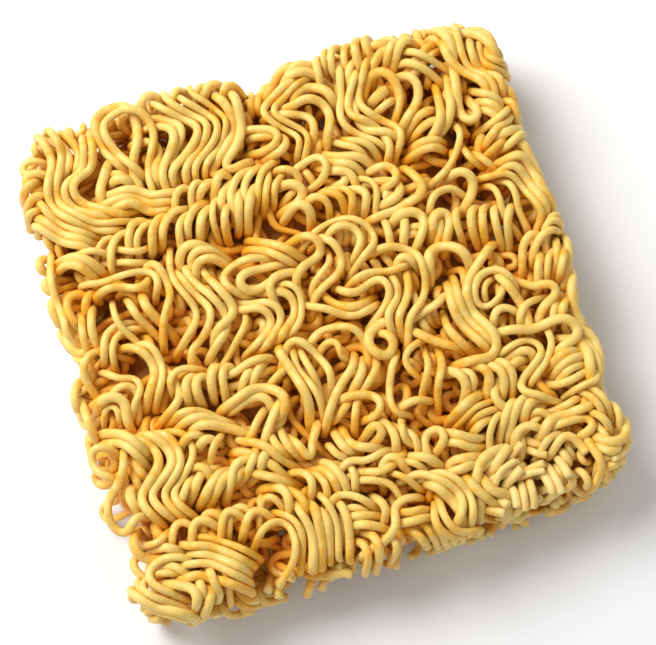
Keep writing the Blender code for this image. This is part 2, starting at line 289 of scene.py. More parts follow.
    (0.2, ((35.2, -16.4), (36.6, -13.4), (39, -11.6), (41.6, -10.6))),
    (0.2, ((29.8, -13.4), (31.1, -11), (33.4, -10.7), (35.6, -12.4))),
    (0, ((30.2, -15), (33.4, -15.2), (36, -15.9), (39.4, -15.9), (42, -16.1), (43.7, -17.7), (43.8, -20.2),
        (41, -21.4), (38.2, -22.6))),
    (0, ((29.2, -18.4), (32.7, -18), (35.5, -18.1), (37.5, -19.6), (37.4, -22), (34.6, -23.8),
        (32.1, -25.2), (31.3, -27.5), (33.5, -29.3), (37.2, -30.4))),
    (0.4, ((29.8, -20.2), (32.7, -19.7), (35.8, -20.2), (35.4, -22))),
    (0.4, ((39.6, -18), (39.8, -20.8), (37.4, -23.2), (34.6, -25.2))),
    (0, ((34.8, -20.9), (32, -21.4), (29.6, -23), (27.1, -25), (26.2, -27.1), (27.5, -29.3), (30.6, -30.2),
        (33.8, -30))),
    (0.6, ((18.2, -18.4), (21.4, -19.8), (22.4, -22.8), (20.8, -25.8)), 5, 2.2, -0.4),
    (0, ((18.8, -27.4), (21.8, -26.4), (25.4, -25.4)), 4, 0.7, -1.2),
    # the right edge
    (0, ((38.2, 45.4), (38.9, 40.6), (39.1, 36.6), (38.4, 33), (37.6, 29.4), (38, 26.4), (39.6, 25.3),
        (41.2, 27), (40.4, 29.6))),
    (0.4, ((37.2, 34), (36.3, 30), (35.2, 27), (33, 24.6), (30.6, 24)), 2, -1.8, 0.3),
    (0, ((44.8, 43), (43.7, 39), (44.3, 35.8), (46.6, 33.2), (48, 30.2), (47.2, 26.8)), 3, -2, -0.1),
    (0.8, ((48, 41.4), (46.6, 37.9), (47.5, 35.7), (50, 34.6)), 2, 1.3, 1.2),
    (1.4, ((45.6, 44.4), (48.4, 43.6), (50.6, 40.5), (50, 36.8)), 2, -1.2, -1),
    (0.8, ((41.4, 31.4), (44, 29.8), (46.2, 27.6), (45, 25.2)), 3, 0.4, -1.7),
    (0.6, ((40.2, 22.8), (44, 23.3), (47.5, 24.4), (49.8, 25.2)), 3, 0.5, -1.9),
    (1, ((46, 28), (49, 28.4), (50.8, 26)), 2, 0.4, -1.7),
    (0.6, ((40.2, 17.8), (42.8, 18.9), (45.4, 21), (48, 22.8)), 2, 0.9, 1.6),
    (0, ((40.3, 15.9), (43.5, 15.5), (46, 15.3), (48, 12.2), (49.5, 8.3), (50.2, 5.4),
        (48.6, 3.2)), 3, -1.7, -0.8),
    (2.2, ((47.4, 20.6), (49.8, 19.4), (51, 16.4), (50.6, 12.4)), 2, 1.7, 0.6),
    (0.4, ((39.2, 14), (41.4, 12.3), (42.1, 9), (41.8, 6), (42.6, 3)), 2, -2.3, -0.3),
    (0.4, ((36, 25.4), (36.1, 22.3), (34.2, 19.5), (31.4, 17.2), (28, 15.8))),
    (0.6, ((37, 20), (37.7, 17), (40.2, 15)), 2, -1.4, 1.2),
    (0.4, ((40.3, -3.8), (41.4, -1), (43.6, 0.7), (46, 0.2)), 4, 2.3, 0.6),
    (0.2, ((41.2, -8.4), (42.1, -5.4), (44, -3.4)), 3, 2.5, 0.3),
    (0.8, ((47.2, -8), (49.1, -4.8), (49.7, -1.2)), 2, -1.7, 0.6),
    (0, ((38.4, -7.6), (41, -9), (43.8, -9.1), (44.4, -11.4), (41.6, -13), (40.3, -15.2))),
    (0.6, ((45.4, -11.6), (43.4, -13), (41.6, -15.4)), 2, 1.9, -0.3),
    (0.8, ((48, -8.6), (46.5, -12), (46.3, -15), (47, -18))),
    (2.4, ((47.4, -9.8), (49.3, -12.3), (48.2, -15))),
    (0.2, ((38.4, -24), (41.4, -22.9), (44.4, -22.7), (47.8, -22.8)), 3, 0.4, -1.5),
    (0, ((37.8, -25.6), (39.8, -26.9), (42.6, -27.8), (45.6, -27.7), (47.4, -28.3), (46.2, -29.7),
        (43.6, -29.9), (40.2, -30.2))),
    (1, ((46, -19.6), (48.4, -21.6), (49.2, -25), (48.9, -28), (47, -30.8), (45.2, -33)), 3, -1.5, -0.2),
    (0.2, ((30.2, -34.2), (33, -32), (36, -31.8), (40.2, -31.5), (43.8, -30.6)), 2, 0.9, -1.7),
    (0.2, ((33.4, -35), (34.9, -33), (38.2, -32.8), (41.7, -33.3), (42, -35.6), (39.2, -37.2))),
    (0.6, ((42.5, -28.6), (44.4, -31.8), (45, -35.4)), 2, 1.6, 0.5),
    (1.2, ((45.5, -33), (47.4, -35.3), (47.8, -39)), 2, -1.8, -0.4),
    # rows towards the front
    (0.4, ((-35.4, -28.8), (-33.4, -27), (-30.6, -24.5), (-28.4, -23.8)), 5, 2.5, -0.1),
    (0.8, ((-31, -19), (-28.9, -17.6), (-26.6, -18.6)), 2, 2, 0.2),
    (0.8, ((-30.4, -22.6), (-28, -23.9), (-26.9, -27))),
    (0.8, ((-26.6, -22.4), (-25.6, -19.4), (-23.6, -17.6))),
    (0.4, ((-26.6, -27.4), (-22.7, -25.2), (-20, -22.4)), 3, 2.9, 0.3),
    (0, ((-19.8, -21.2), (-16.8, -23.8), (-14.3, -25.9), (-12.2, -28.2)), 3, -0.8, -1.5),
    (0.2, ((-15.4, -20.6), (-15, -24.2), (-12.8, -26)), 2, 1.8, 0.4),
    (0.2, ((-12.4, -22.6), (-10.7, -26), (-9.6, -27.8), (-8.6, -25), (-7, -22.6))),
    (0, ((-37, -35.4), (-35.8, -32.4), (-33.8, -31.6), (-32, -33.6)), 7, 2.55, -0.05),
    (0, ((-17.6, -29.6), (-15.3, -30.5), (-14.4, -33), (-15.2, -35.8)), 7, 2.1, 0.15),
    (0, ((-5.4, -31.6), (-2.6, -29.9), (0.6, -30.8), (4.6, -30.2)), 2, 0.6, -1.7),
    (0.4, ((-2.7, -24.4), (-2.5, -27), (0, -28.4), (3.4, -29.2))),
    (0.2, ((1.1, -27), (2.7, -25.3), (4.3, -26.1), (3.6, -28), (1.4, -28.4))),
    (0.8, ((-5.4, -25), (-4.2, -28.2), (-1.6, -29.6)), 2, 1.5, 0.8),
    (0.2, ((4.8, -24.4), (6.5, -27.4), (6, -30.6)), 2, 2.6, -0.9),
    (0.4, ((8.4, -26), (8.6, -29.3), (11.2, -31.2))),
    (0.2, ((4.9, -33.2), (7.6, -35.2), (9.6, -37.4)), 3, 1.7, 0.9),
    (0.2, ((2.2, -34.8), (3, -31.9), (5.6, -31.5), (7, -33))),
    (0.2, ((-3.2, -32.8), (0, -34.2), (3, -36), (4, -38.6))),
    (0, ((11, -35.2), (10.4, -31.2), (12.4, -29.2), (14.6, -30), (14, -32.6), (11.8, -34.8))),
    (0, ((15.3, -31.6), (17.4, -33), (20, -34.6), (22.6, -34.2)), 2, 0.5, 1.7),
    (0.4, ((13.4, -37), (15, -35.2), (18, -35.7), (21.4, -35.4)), 2, -0.5, -1.5),
    (0.4, ((22.6, -35), (23.6, -31.6), (26.4, -29.6), (28.6, -31)), 4, 2.3, 0.4),
    (0.4, ((29.4, -36), (30, -33.2), (32.6, -33.4), (33.6, -36)), 2, 1.5, 0.8),
    # the front left corner, and the fused sheaf that hangs over the front edge
    (0.6, ((-42.2, -33.4), (-39.7, -34.1), (-37.4, -33.6), (-35.6, -31.8))),
    (1.2, ((-42.6, -31.4), (-43.6, -34), (-43.1, -36.7), (-41.4, -37.8), (-38.6, -37.7))),
    (0.8, ((-41, -35.4), (-38.2, -36.4), (-36, -38.2)), 2, -0.4, -1.6),
    (0, ((-33.2, -35.4), (-30, -36.4), (-26.4, -38.6), (-23.6, -40.8)), 5, -0.9, -1.3),
    (0.4, ((-36.4, -40), (-39.2, -38.5), (-42, -38.4), (-43.9, -40.4), (-42.9, -42.6), (-40.7, -44.7),
        (-38.2, -46.8)), 2, 0.9, 1.3),
    (1.2, ((-45.8, -40.4), (-45, -43.2), (-43.3, -45.2), (-40.8, -46.7), (-38, -48.6)), 2, -0.7, -1.3),
    (0.4, ((-39, -41), (-36, -42.1), (-35, -44.2), (-36.4, -47)), 2, 1.7, 0.2),
    (0.8, ((-34.6, -40.6), (-34, -43), (-34.4, -46.4)), 3, 2.3, 0.1),
    (0, ((-22.8, -38.4), (-20.4, -36), (-18, -35.1), (-16, -36.4), (-15.8, -39.6), (-16.6, -42),
        (-18, -43.8), (-19.4, -45))),
    (0.2, ((-17.8, -34.4), (-15.6, -35.4), (-14.5, -38.4), (-14.8, -41.6), (-15.8, -44.6)), 6, 1.75, 0.1),
    (0, ((-9.2, -38.4), (-7.7, -35.4), (-5.2, -35.2), (-3.2, -37.2), (-0.8, -39.6))),
    (0.6, ((-7.4, -41.4), (-6.6, -38.2), (-4.4, -37.5), (-2.4, -39.4))),
    (0.8, ((-6, -39.6), (-3, -40), (0.8, -41)), 2, 0.2, -1.7),
    (0, ((6.6, -38.6), (4.4, -38.2), (2.4, -39.4), (2.5, -42), (1.4, -44), (-0.9, -45.4), (-3.8, -46.4))),
    (0.4, ((2.4, -42.4), (5, -43.4), (8.4, -43.4)), 2, 0.6, 1.5),
    (0.6, ((0.2, -37), (1.7, -39.4), (0.6, -42))),
    (1.6, ((-6.6, -43), (-4.2, -44.9), (-4, -47.8), (-5, -50)), 3, 2.4, 0.4),
    (0, ((8.6, -36.6), (11.6, -36.2), (14.6, -38.6), (16.4, -41.8), (16.1, -45.3),
        (14.8, -48.4)), 2, -1.4, 0.2),
    (0.2, ((10.6, -37.2), (12.3, -40), (13.6, -43.4), (14, -47))),
    (0.6, ((9.4, -41.6), (8.9, -45), (10.5, -47.8), (13.4, -49)), 2, 1.5, 0.6),
    (1.4, ((3.4, -44), (5, -46), (6, -48.6)), 3, 2, 0.1),
    # the broken front right corner
    (0.6, ((17.6, -41), (18.9, -37.8), (21.6, -36.8), (24.8, -36.4)), 3, 0.5, -1.5),
    (0, ((19.8, -41), (22.2, -38.2), (25.8, -36.4), (29.6, -35.2)), 3, 1.3, -1.3),
    (0.4, ((24, -39.8), (27, -38.7), (29.8, -37.4)), 2, 1, 1.6),
    (0.2, ((30, -37), (32.4, -39), (33.5, -42.8)), 2, 0.6, 1.4),
    (0.4, ((27, -40), (29.8, -40.3), (32.6, -41.4)), 2, 0.2, -1.5),
    (0.8, ((18, -39), (19.2, -42.3), (22.4, -44.8)), 2, 1.4, 1.1),
    (1.4, ((19.2, -43.6), (21.4, -46.2), (22, -49.6)), 2, 1.6, 0.6),
    (1, ((24.6, -42), (24.8, -45.4), (23.8, -49)), 6, 1.9, 0.15),
    (0, ((33, -38.4), (35.4, -36.3), (37.8, -36.4), (39.3, -38.6), (38.9, -41.6), (37.7, -45.4),
        (37.4, -49)), 2, -1.9, -0.3),
    (0.6, ((40.2, -36), (41.2, -39.4), (41.8, -42.6), (40.4, -46)), 2, 1.7, 0.6),
    (1, ((41.6, -38), (44.2, -40.6), (46.4, -40.2), (47.8, -38)), 2, -0.2, -1.8),
    (2.2, ((42.8, -41.4), (43.6, -45), (46.6, -46.4)), 2, 1.3, -1.3),
)
COURSE_STEP = 0.25
COURSE_SMOOTHING = 30  # how many times the course through the places is smoothed
SHEAF_TOP = 20.6
SHEAF_SINK = 1.3  # scales how far each sheaf lies under the highest ones
SHEAF_DIP = 2.6  # how far below its middle a strand's ends are
DIP_POWER = 2.2  # at least, and more in a strand over DIP_POWER * DIP_LENGTH long
DIP_LENGTH = 4.5
SHEAF_SWING = 0.8  # how far a sheaf rises and falls
SIZE_SPREAD = 0.03  # how unlike each other a sheaf's strands are: in size, place and height
PLACE_SPREAD = 0.2
HEIGHT_SPREAD = 0.25
WOBBLE = 0.3
WOBBLE_SPANS = (13.0, 19.0, 31.0)
WOBBLE_SUM = 1.7  # about what its waves add up to
SHEAF_WAVE = 9.0
TAIL_TURN = 1.9  # the radius with which a strand of a sheaf turns down into the block
TAIL_DROP = 1.6
TAIL_AIM = 6  # course steps from a strand's end to the point that gives its heading
TAIL_POINTS = (12, 16)  # in its turn and in its drop
WALL_STARTS = 2  # how far past the core a strand's end hangs down the wall
WALL_DROP = 3.6  # how much further it drops where it hangs down the block's wall
WALL_DROP_RANGE = (0.2, 1.4)
WALL_SWAY = 1.9
WALL_WAVE = 6.5
WALL_TUCK = 1.6  # how far its end turns back in
SHEAF_WEIGHT = 10.0  # how much harder a sheaf's strands are to push than the folded ones

# The front right corner, where strands have broken off
BROKEN_PLACE = np.array([29.0, -43.0])
BROKEN_RADIUS = 9.0
BROKEN_LOWEST = 9
BROKEN_PALENESS = 0.75
SNAPPED_SHARE = (0.4, 0.85)  # how much is left of a strand that is broken off there
SNAPPED_LIFT = 1.2


# ---- the space for the strands
class Mould:
    """The space inside the CAD solid, as a grid of depths under its surface."""

    PITCH = 1.5
    MARGIN = 4.5

    def __init__(self, solid):
        mesh = solid.data
        places = np.empty(len(mesh.vertices) * 3)
        mesh.vertices.foreach_get("co", places)
        places = places.reshape(-1, 3) / MM
        mesh.calc_loop_triangles()
        corners = np.empty(len(mesh.loop_triangles) * 3, dtype=np.int32)
        mesh.loop_triangles.foreach_get("vertices", corners)
        tree = BVHTree.FromPolygons(places.tolist(), corners.reshape(-1, 3).tolist())
        self.low = places.min(axis=0) - self.MARGIN
        high = places.max(axis=0) + self.MARGIN
        self.count = np.ceil((high - self.low) / self.PITCH).astype(int) + 1
        axes = [self.low[i] + self.PITCH * np.arange(self.count[i]) for i in range(3)]
        spots = np.stack(np.meshgrid(*axes, indexing="ij"), axis=-1).reshape(-1, 3)
        depth = np.empty(len(spots))
        for index, spot in enumerate(spots.tolist()):
            near, normal, _, distance = tree.find_nearest(spot)
            inside = (Vector(spot) - near).dot(normal) < 0
            depth[index] = distance if inside else -distance
        self.depth = depth.reshape(self.count)
        self.slope = np.stack(np.gradient(self.depth, self.PITCH), axis=-1)

    def sample(self, points):
        """How deep each point is under the surface, and which way is deeper."""
        place = np.clip((points - self.low) / self.PITCH, 0, self.count - 1.001)
        cell = place.astype(int)
        part = place - cell
        depth = np.zeros(len(points))
        slope = np.zeros((len(points), 3))
        for corner in range(8):
            shift = np.array([corner & 1, corner >> 1 & 1, corner >> 2])
            weight = np.prod(np.where(shift, part, 1 - part), axis=1)
            x, y, z = (cell + shift).T
            depth += weight * self.depth[x, y, z]
            slope += weight[:, None] * self.slope[x, y, z]
        return depth, slope


def unit(vectors):
    return vectors / np.maximum(np.linalg.norm(vectors, axis=-1, keepdims=True), 1e-9)


def keep_in_space(points, mould):
    """Moves beads back under the mould's surface and out of the core."""
    depth, slope = mould.sample(points)
    short = THICK / 2 - depth
    out = short > 0
    points[out] += slope[out] * short[out, None]
    offset = points - CORE_MIDDLE
    beyond = offset - np.clip(offset, CORE_ROUND - CORE_HALF, CORE_HALF - CORE_ROUND)
    distance = np.linalg.norm(beyond, axis=1)
    short = CORE_ROUND + THICK / 2 - distance
    near = (short > 0) & (distance > 1e-6)
    points[near] += unit(beyond[near]) * short[near, None]
    sunk = distance <= 1e-6
    points[sunk, 2] += np.where(offset[sunk, 2] < 0, -0.5, 0.5)


# ---- laying the strands
def smooth_field(seed, span):
    """A smooth uneven function of x and y, mostly between -1 and 1."""
    own = np.random.default_rng(seed)
    waves = own.normal(size=(FIELD_WAVES, 2)) * (math.tau / span) * FIELD_SPREAD
    shifts = own.uniform(0, math.tau, FIELD_WAVES)

    def field(x, y):
        total = np.zeros(np.broadcast(x, y).shape)
        for (kx, ky), shift in zip(waves, shifts):
            total = total + np.sin(kx * x + ky * y + shift)
        return total / FIELD_SUM

    return field


def distance_along(path):
    steps = np.linalg.norm(np.diff(path, axis=0), axis=1)
    return np.concatenate([[0], np.cumsum(steps)])


def even_steps(path, step):
    """The same path with its points a step apart."""
    along = distance_along(path)
    wanted = np.arange(0, along[-1], step)
    return np.stack([np.interp(wanted, along, column) for column in path.T], axis=1)


def smooth_through(knots, per_span=14):
    """A smooth curve that passes close to some knots, with no sharp turn at any."""
    knots = np.asarray(knots, dtype=float)
    knots = np.concatenate([[2 * knots[0] - knots[1]], knots, [2 * knots[-1] - knots[-2]]])
    share = (np.arange(per_span) / per_span)[:, None]
    spans = []
    for a, b, c, d in zip(knots, knots[1:], knots[2:], knots[3:]):
        bend = (2 * a - 5 * b + 4 * c - d) * share**2 + (3 * b - a - 3 * c + d) * share**3
        spans.append(0.5 * (2 * b + (c - a) * share + bend))
    curve = even_steps(np.concatenate(spans + [knots[-2:-1]]), COURSE_STEP)
    for _ in range(COURSE_SMOOTHING):
        curve[1:-1] = (curve[:-2] + 2 * curve[1:-1] + curve[2:]) / 4
    return curve


def wobble(flat):
    """A smooth random sway for one strand, that its neighbours don't share."""
    sway = np.zeros_like(flat)
    for axis in range(2):
        for span in WOBBLE_SPANS:
            heading = rng.uniform(0, math.tau)
            course = flat @ np.array([math.cos(heading), math.sin(heading)])
            sway[:, axis] += np.sin(course * math.tau / span + rng.uniform(0, math.tau))
    return WOBBLE * sway / WOBBLE_SUM


def tail(end, before, phase):
    """From a strand's end, a round turn and a way down into the block or its wall."""
    turn = np.linspace(0, math.pi / 2, TAIL_POINTS[0])[1:, None]
    share = np.linspace(0, 1, TAIL_POINTS[1])[1:, None]
    down = np.array([0.0, 0.0, -1.0])
    ahead = unit(end - before)
    round_turn = end + TAIL_TURN * (np.sin(turn) * ahead + (1 - np.cos(turn)) * down)
    at_wall = float(np.any(np.abs(end[:2]) > CORE_HALF[:2] + WALL_STARTS))
    length = TAIL_DROP + at_wall * WALL_DROP * rng.uniform(*WALL_DROP_RANGE)
    sway = at_wall * WALL_SWAY * share * np.sin(phase + math.tau * share * length / WALL_WAVE)
    tuck = at_wall * WALL_TUCK * share**2
    drop = round_turn[-1] + length * share * down + sway * np.cross(down, ahead) - tuck * ahead
    return np.concatenate([round_turn, drop])


def snapped_off(path):
    """The first part of the path, its end a little raised."""
    left = path[: int(len(path) * rng.uniform(*SNAPPED_SHARE))].copy()
    left[:, 2] += SNAPPED_LIFT * np.linspace(0, 1, len(left)) ** 3
    return left


def lay_sheaves():
    """The strands of the top, side by side in sheaves whose ends dive into the block."""
    strands = []
    for sink, places, *sheaf in SHEAVES:
        count, *step = sheaf or (1, 0, 0)
        course = smooth_through(places)
        centre = course.mean(axis=0)
        level = SHEAF_TOP - SHEAF_SINK * sink
        phase = rng.uniform(0, math.tau)
        for number in range(count):
            size = 1 + SIZE_SPREAD * rng.normal() * (number > 0)
            flat = centre + (course - centre) * size + number * np.array(step)
            flat += PLACE_SPREAD * rng.normal(size=2)
            flat += wobble(flat)
            along = distance_along(flat)
            share = 2 * along / along[-1] - 1
            height = level + HEIGHT_SPREAD * rng.normal()
            height += SHEAF_SWING * np.sin(math.tau * along / SHEAF_WAVE + phase)
            height -= SHEAF_DIP * np.abs(share) ** max(DIP_POWER, along[-1] / DIP_LENGTH)
            path = np.column_stack([flat, height])
            first_tail = tail(path[0], path[TAIL_AIM], phase)[::-1]
            if np.linalg.norm(centre - BROKEN_PLACE) < BROKEN_RADIUS:
                path = np.concatenate([first_tail, snapped_off(path)])
            else:
                path = np.concatenate([first_tail, path, tail(path[-1], path[-1 - TAIL_AIM], phase)])
            strands.append(even_steps(path, BEAD_STEP))
    return strands


def lay_folded():
    """The strands of the two folded layers, in rows of upright waves along y."""
    lean, row, swing, drift = (
        [smooth_field(seed + layer, span) for layer in (1, 2)]
        for seed, span in (LEAN_FIELD, ROW_FIELD, SWAY_FIELD, DRIFT_FIELD)
    )
    strands = []
    for x0 in np.linspace(LEFT_STRAND_X, RIGHT_STRAND_X, FOLDED_STRANDS):
        jitter = rng.normal(size=8)
        layers = []
        for layer in (0, 1):
            cut = -HALF_RUN - FRONT_REACH[layer] - CUT_SPREAD * np.tanh(jitter[5 + layer])
            y = np.linspace(cut, HALF_RUN, LAYER_POINTS)[:: (1, -1)[layer]]
            lean_deg = LAYER_LEAN_DEG[layer] * np.tanh(LEAN_SHARPNESS * lean[layer](x0, y))
            tilt = np.radians(lean_deg + LEAN_SPREAD_DEG * jitter[0])
            wander = ROW_WANDER * row[layer](x0, y)
            phase = math.tau * (y + wander) / ROW_PITCH + PHASE_SPREAD * jitter[1 + layer]
            edge = np.maximum(abs(x0) / RIGHT_STRAND_X, np.abs(y) / HALF_RUN) ** EDGE_POWER
            height = (LAYER_SWING[layer] + EDGE_SWING * edge) * np.cos(phase)
            sway = SWAY * swing[layer](x0, y) * np.sin(math.tau * y / SWAY_SPAN + jitter[4])
            x = x0 + DRIFT * drift[layer](x0, y) + height * np.sin(tilt) + sway
            z = LAYER_MIDDLE[layer] + EDGE_CLOSER[layer] * edge + height * np.cos(tilt)
            layers.append(np.stack([x, y + WAVE_BULGE * np.sin(2 * phase), z], axis=1))
        turn = np.linspace(-0.5, 0.5, FOLD_POINTS) * math.pi
        fold_y = HALF_RUN + FOLD_REACH * np.cos(turn)
        fold_z = np.mean(LAYER_MIDDLE) + FOLD_HEIGHT * np.sin(turn)
        fold = np.stack([np.full(FOLD_POINTS, x0), fold_y, fold_z], axis=1)
        path = np.concatenate([layers[0], fold, layers[1]])
        strands.append(even_steps(path, BEAD_STEP))
    return strands


# ---- packing the strands
def near_pairs(points, strand, reach):
    """Pairs of beads within reach, other than close ones of one strand."""
    cell = np.floor((points - points.min(axis=0)) / reach).astype(np.int64) + 1
    span = cell.max(axis=0) + 2
    key = (cell[:, 0] * span[1] + cell[:, 1]) * span[2] + cell[:, 2]
    order = np.argsort(key, kind="stable")
    ranked = key[order]
    firsts = []
    seconds = []
    for over_x, over_y in ((0, 0), (0, 1), (1, -1), (1, 0), (1, 1)):
        target = key + (over_x * span[1] + over_y) * span[2]
        start = np.searchsorted(ranked, target - 1, "left")
        counts = np.searchsorted(ranked, target + 1, "right") - start
        first = np.repeat(np.arange(len(points)), counts)
        place = np.arange(counts.sum()) - np.repeat(np.cumsum(counts) - counts, counts)
        second = order[np.repeat(start, counts) + place]
        keep = (first < second) | (over_x != 0) | (over_y != 0)
        firsts.append(first[keep])
        seconds.append(second[keep])
    first = np.concatenate(firsts)
    second = np.concatenate(seconds)
    apart = np.sum((points[first] - points[second]) ** 2, axis=1)
    far_along = (strand[first] != strand[second]) | (np.abs(first - second) > NEIGHBOURS)
    keep = (apart < reach**2) & far_along
    return first[keep], second[keep]


def push_apart(points, weight, first, second, distance):
    """Moves pairs of beads apart that are closer than a distance, the heavier one less."""
    gap = points[second] - points[first]
    squares = np.einsum("ij,ij->i", gap, gap)
    close = squares < distance**2
    first = first[close]
    second = second[close]
    length = np.sqrt(np.maximum(squares[close], 1e-8))
    move = gap[close] * (PUSH_SHARE * (distance - length) / length)[:, None]
    second_share = weight[first] / (weight[first] + weight[second])
    total = len(points)
    hits = np.bincount(first, minlength=total) + np.bincount(second, minlength=total)
    ease = 1 / np.sqrt(np.maximum(hits, 1))
    for axis in range(3):
        pushed = np.bincount(second, move[:, axis] * second_share, total)
        pushed -= np.bincount(first, move[:, axis] * (1 - second_share), total)
        points[:, axis] += pushed * ease


def hold_step(points, first, second):
    """Brings pairs of neighbours on a strand back to a step apart."""
    gap = points[second] - points[first]
    length = np.maximum(np.linalg.norm(gap, axis=1), 1e-6)
    move = gap * (0.5 * (length - BEAD_STEP) / length)[:, None]
    points[first] += move
    points[second] -= move


def pack(strands, weights, mould):
    """Pushes the strands apart inside the mould, with each strand's shift kept smooth."""
    points = np.concatenate(strands)
    laid = points.copy()
    counts = [len(path) for path in strands]
    strand = np.repeat(np.arange(len(strands)), counts)
    weight = np.repeat(weights, counts)
    index = np.arange(len(points))
    joined = index[:-1][strand[:-1] == strand[1:]]
    inner = index[1:-1][strand[:-2] == strand[2:]]
    for turn in range(ROUNDS):
        if turn % PAIR_EVERY == 0:
            first, second = near_pairs(points, strand, THICK * PAIR_REACH)
        growth = min(1.0, FIRST_GROWTH + (1 - FIRST_GROWTH) * turn / GROWING_ROUNDS)
        push_apart(points, weight, first, second, THICK * TOUCH * growth)
        shift = points - laid
        mean = (shift[inner - 1] + shift[inner + 1]) / 2
        points[inner] += STIFFNESS * (mean - shift[inner])
        for odd in (0, 1):
            start = joined[joined % 2 == odd]
            hold_step(points, start, start + 1)
        keep_in_space(points, mould)
    return np.split(points, np.cumsum(counts)[:-1])


# ---- the meshes
def smooth_path(path):
    """A cubic B-spline along the beads, in even shares of a bead."""
    padded = np.concatenate([2 * path[:1] - path[1:2], path, 2 * path[-1:] - path[-2:-1]])
    spots = np.arange(0, len(path) - 1, RING_SHARE)
    base = spots.astype(int)
    t = (spots - base)[:, None]
    a, b, c, d = (padded[base + i] for i in range(4))
    return (
        (1 - t) ** 3 * a
        + (3 * t**3 - 6 * t**2 + 4) * b
        + (-3 * t**3 + 3 * t**2 + 3 * t + 1) * c
        + t**3 * d
    ) / 6


def smooth_noise(count, span):
    """Random values between -1 and 1 that change gradually over a span of places."""
    knots = rng.uniform(-1, 1, count // span + 3)
    return np.interp(np.arange(count) / span, np.arange(len(knots)), knots)


def with_cut_ends(path):
    """The path with a short step added at each end, for the bevel of the cut."""
    bevel = BEVEL * THICK
    first = path[0] + unit(path[0] - path[1]) * bevel
    last = path[-1] + unit(path[-1] - path[-2]) * bevel
    return np.concatenate([[first], path, [last]])


def tube_rings(path, radius):
    """Rings of points round a path, turned as little as possible from one to the next."""
    ahead = unit(np.gradient(path, axis=0))
    side = np.cross(ahead[0], [0.3, 0.2, 0.93])
    sides = np.empty_like(path)
    for index, heading in enumerate(ahead):
        side = side - heading * side.dot(heading)
        side = side / math.sqrt(side.dot(side))
        sides[index] = side
    across = np.cross(ahead, sides)
    angle = math.tau * np.arange(SIDES) / SIDES
    flat_way = math.pi * smooth_noise(len(path), FLAT_WAY_SPAN)[:, None]
    out_of_round = 1 + OUT_OF_ROUND * np.cos(2 * angle[None] - flat_way)
    reach = (radius[:, None] * out_of_round)[:, :, None]
    cos = np.cos(angle)[None, :, None]
    sin = np.sin(angle)[None, :, None]
    return path[:, None] + reach * (cos * sides[:, None] + sin * across[:, None])


def strip_map(along, row_length, rows):
    """Where a tube's quads lie on a map that holds all the tubes in rows, end to end."""
    row = np.floor(along[:-1] / row_length)
    start = along[:-1] / row_length - row
    stop = along[1:] / row_length - row
    turn = np.arange(SIDES)
    low = ROW_FOOT + ROW_HEIGHT * turn / SIDES
    high = ROW_FOOT + ROW_HEIGHT * (turn + 1) / SIDES
    u = np.empty((len(row), SIDES, 4))
    v = np.empty((len(row), SIDES, 4))
    u[:, :, 0] = u[:, :, 1] = start[:, None]
    u[:, :, 2] = u[:, :, 3] = stop[:, None]
    v[:, :, 0] = v[:, :, 3] = (row[:, None] + low) / rows
    v[:, :, 1] = v[:, :, 2] = (row[:, None] + high) / rows
    return np.stack([MAP_LEFT + MAP_WIDTH * u, v], axis=-1)


def cap_map(place, row_length, rows):
    row = math.floor(place / row_length)
    angle = math.tau * np.arange(SIDES) / SIDES
    u = (place + 0.35 + 0.3 * np.cos(angle)) / row_length - row
    v = (row + 0.5 + 0.3 * np.sin(angle)) / rows
    return np.stack([MAP_LEFT + MAP_WIDTH * u, v], axis=-1)


def brokenness(path):
    """Near 1 where the front right corner has broken away, near 0 elsewhere."""
    apart = np.linalg.norm(path[:, :2] - BROKEN_PLACE, axis=1)
    return np.exp(-((apart / BROKEN_RADIUS) ** 4)) * (path[:, 2] > BROKEN_LOWEST)


